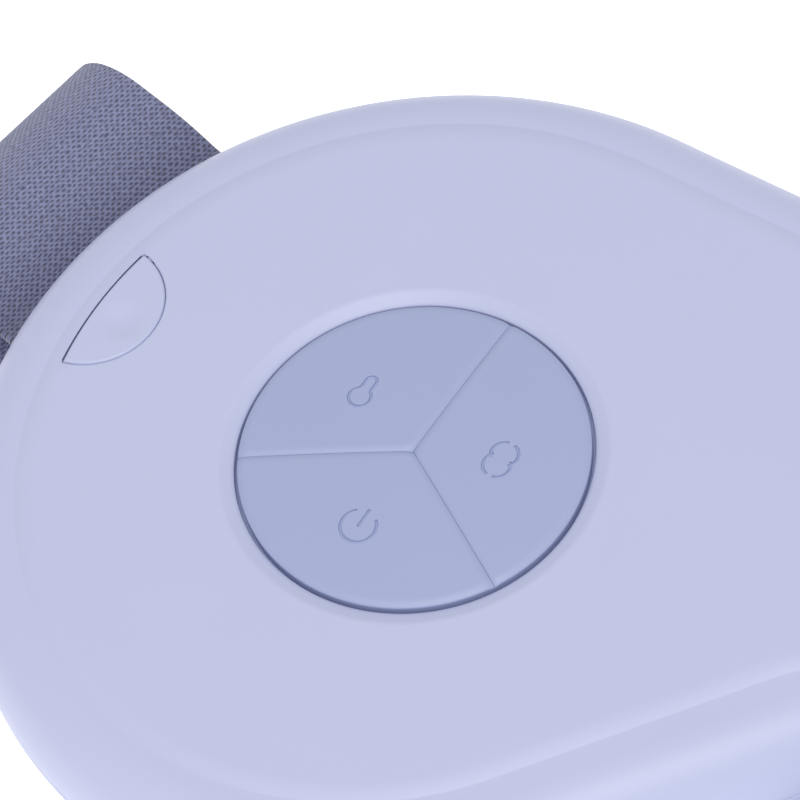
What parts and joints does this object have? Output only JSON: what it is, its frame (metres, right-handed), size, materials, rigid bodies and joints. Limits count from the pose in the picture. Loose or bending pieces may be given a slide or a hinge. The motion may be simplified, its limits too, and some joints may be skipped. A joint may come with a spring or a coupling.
{
  "type": "heating pad",
  "caption": "Heating and massage belt pad with two round lobes, three keys in a round disc, a port cover and an elastic belt folded under it.",
  "frame": {"origin": "on the surface that the folded belt rests on, under the middle of the pad", "axes": "+X along the belt, +Y towards the top edge of the pad, +Z out of the front with the keys"},
  "size_m": [0.3182, 0.117, 0.0259],
  "materials": {
    "housing": "soft-touch matte, very fine grain",
    "keys": "soft-touch matte, a shade deeper than the housing",
    "silicone": "matte silicone",
    "silicone_dark": "matte silicone",
    "white_plastic": "moulded, satin",
    "black_plastic": "moulded, satin",
    "circuit_board": "solder mask, semi-gloss",
    "steel": "bright drawn or stamped",
    "weight_metal": "sintered tungsten alloy, dull",
    "battery_foil": "aluminium-laminate pouch, dull",
    "film": "polyimide film, amber",
    "foam": "closed-cell foam, matt",
    "heating_fabric": "short-pile soft fabric",
    "webbing": "woven elastic with a fine dark dimple weave",
    "hook_tape": "hook tape"
  },
  "bodies": {
    "pad": {"front_cover": "housing", "back_cover": "housing", "shell_screws": "steel", "keypad_membrane": "silicone", "key_retainer": "white_plastic", "retainer_screws": "steel", "tact_switches": "black_plastic", "main_board": "circuit_board", "board_components": "black_plastic", "indicator_leds": "white_plastic", "board_screws": "steel", "charging_socket": "steel", "socket_contacts": "black_plastic", "socket_board": "circuit_board", "socket_board_screws": "steel", "battery": "battery_foil", "battery_foam_tape": "foam", "left_motor": "steel", "right_motor": "steel", "motor_sleeves": "silicone_dark", "heating_face": "heating_fabric", "heating_film": "film", "insulation_foam": "foam", "thermistor": "black_plastic", "strap_bars": "steel", "left_strap": "webbing", "right_strap": "webbing", "hook_patch": "hook_tape", "loop_patch": "webbing"},
    "power_key": {"key_power": "keys", "power_plunger": "black_plastic"},
    "heat_key": {"key_heat": "keys", "heat_plunger": "black_plastic"},
    "massage_key": {"key_massage": "keys", "massage_plunger": "black_plastic"},
    "port_flap": {"port_cover": "housing"},
    "left_rotor": {"left_motor_shaft": "steel", "left_weight": "weight_metal"},
    "right_rotor": {"right_motor_shaft": "steel", "right_weight": "weight_metal"}
  },
  "joints": [
    {"name": "power_press", "type": "slide", "parent": "pad", "child": "power_key", "axis": [0, 0, -1], "range_m": [0, 0.0006], "stiffness_N_per_m": 1200},
    {"name": "heat_press", "type": "slide", "parent": "pad", "child": "heat_key", "axis": [0, 0, -1], "range_m": [0, 0.0006], "stiffness_N_per_m": 1200},
    {"name": "massage_press", "type": "slide", "parent": "pad", "child": "massage_key", "axis": [0, 0, -1], "range_m": [0, 0.0006], "stiffness_N_per_m": 1200},
    {"name": "port_cover_hinge", "type": "hinge", "parent": "pad", "child": "port_flap", "pos_m": [-0.11322, -0.0009, 0.02445], "axis": [0, -1, 0], "range_deg": [0, 80]},
    {"name": "left_motor_spin", "type": "hinge", "parent": "pad", "child": "left_rotor", "pos_m": [-0.082, -0.038, 0.0162], "axis": [1, 0, 0], "continuous": true},
    {"name": "right_motor_spin", "type": "hinge", "parent": "pad", "child": "right_rotor", "pos_m": [0.082, -0.038, 0.0162], "axis": [-1, 0, 0], "continuous": true}
  ]
}
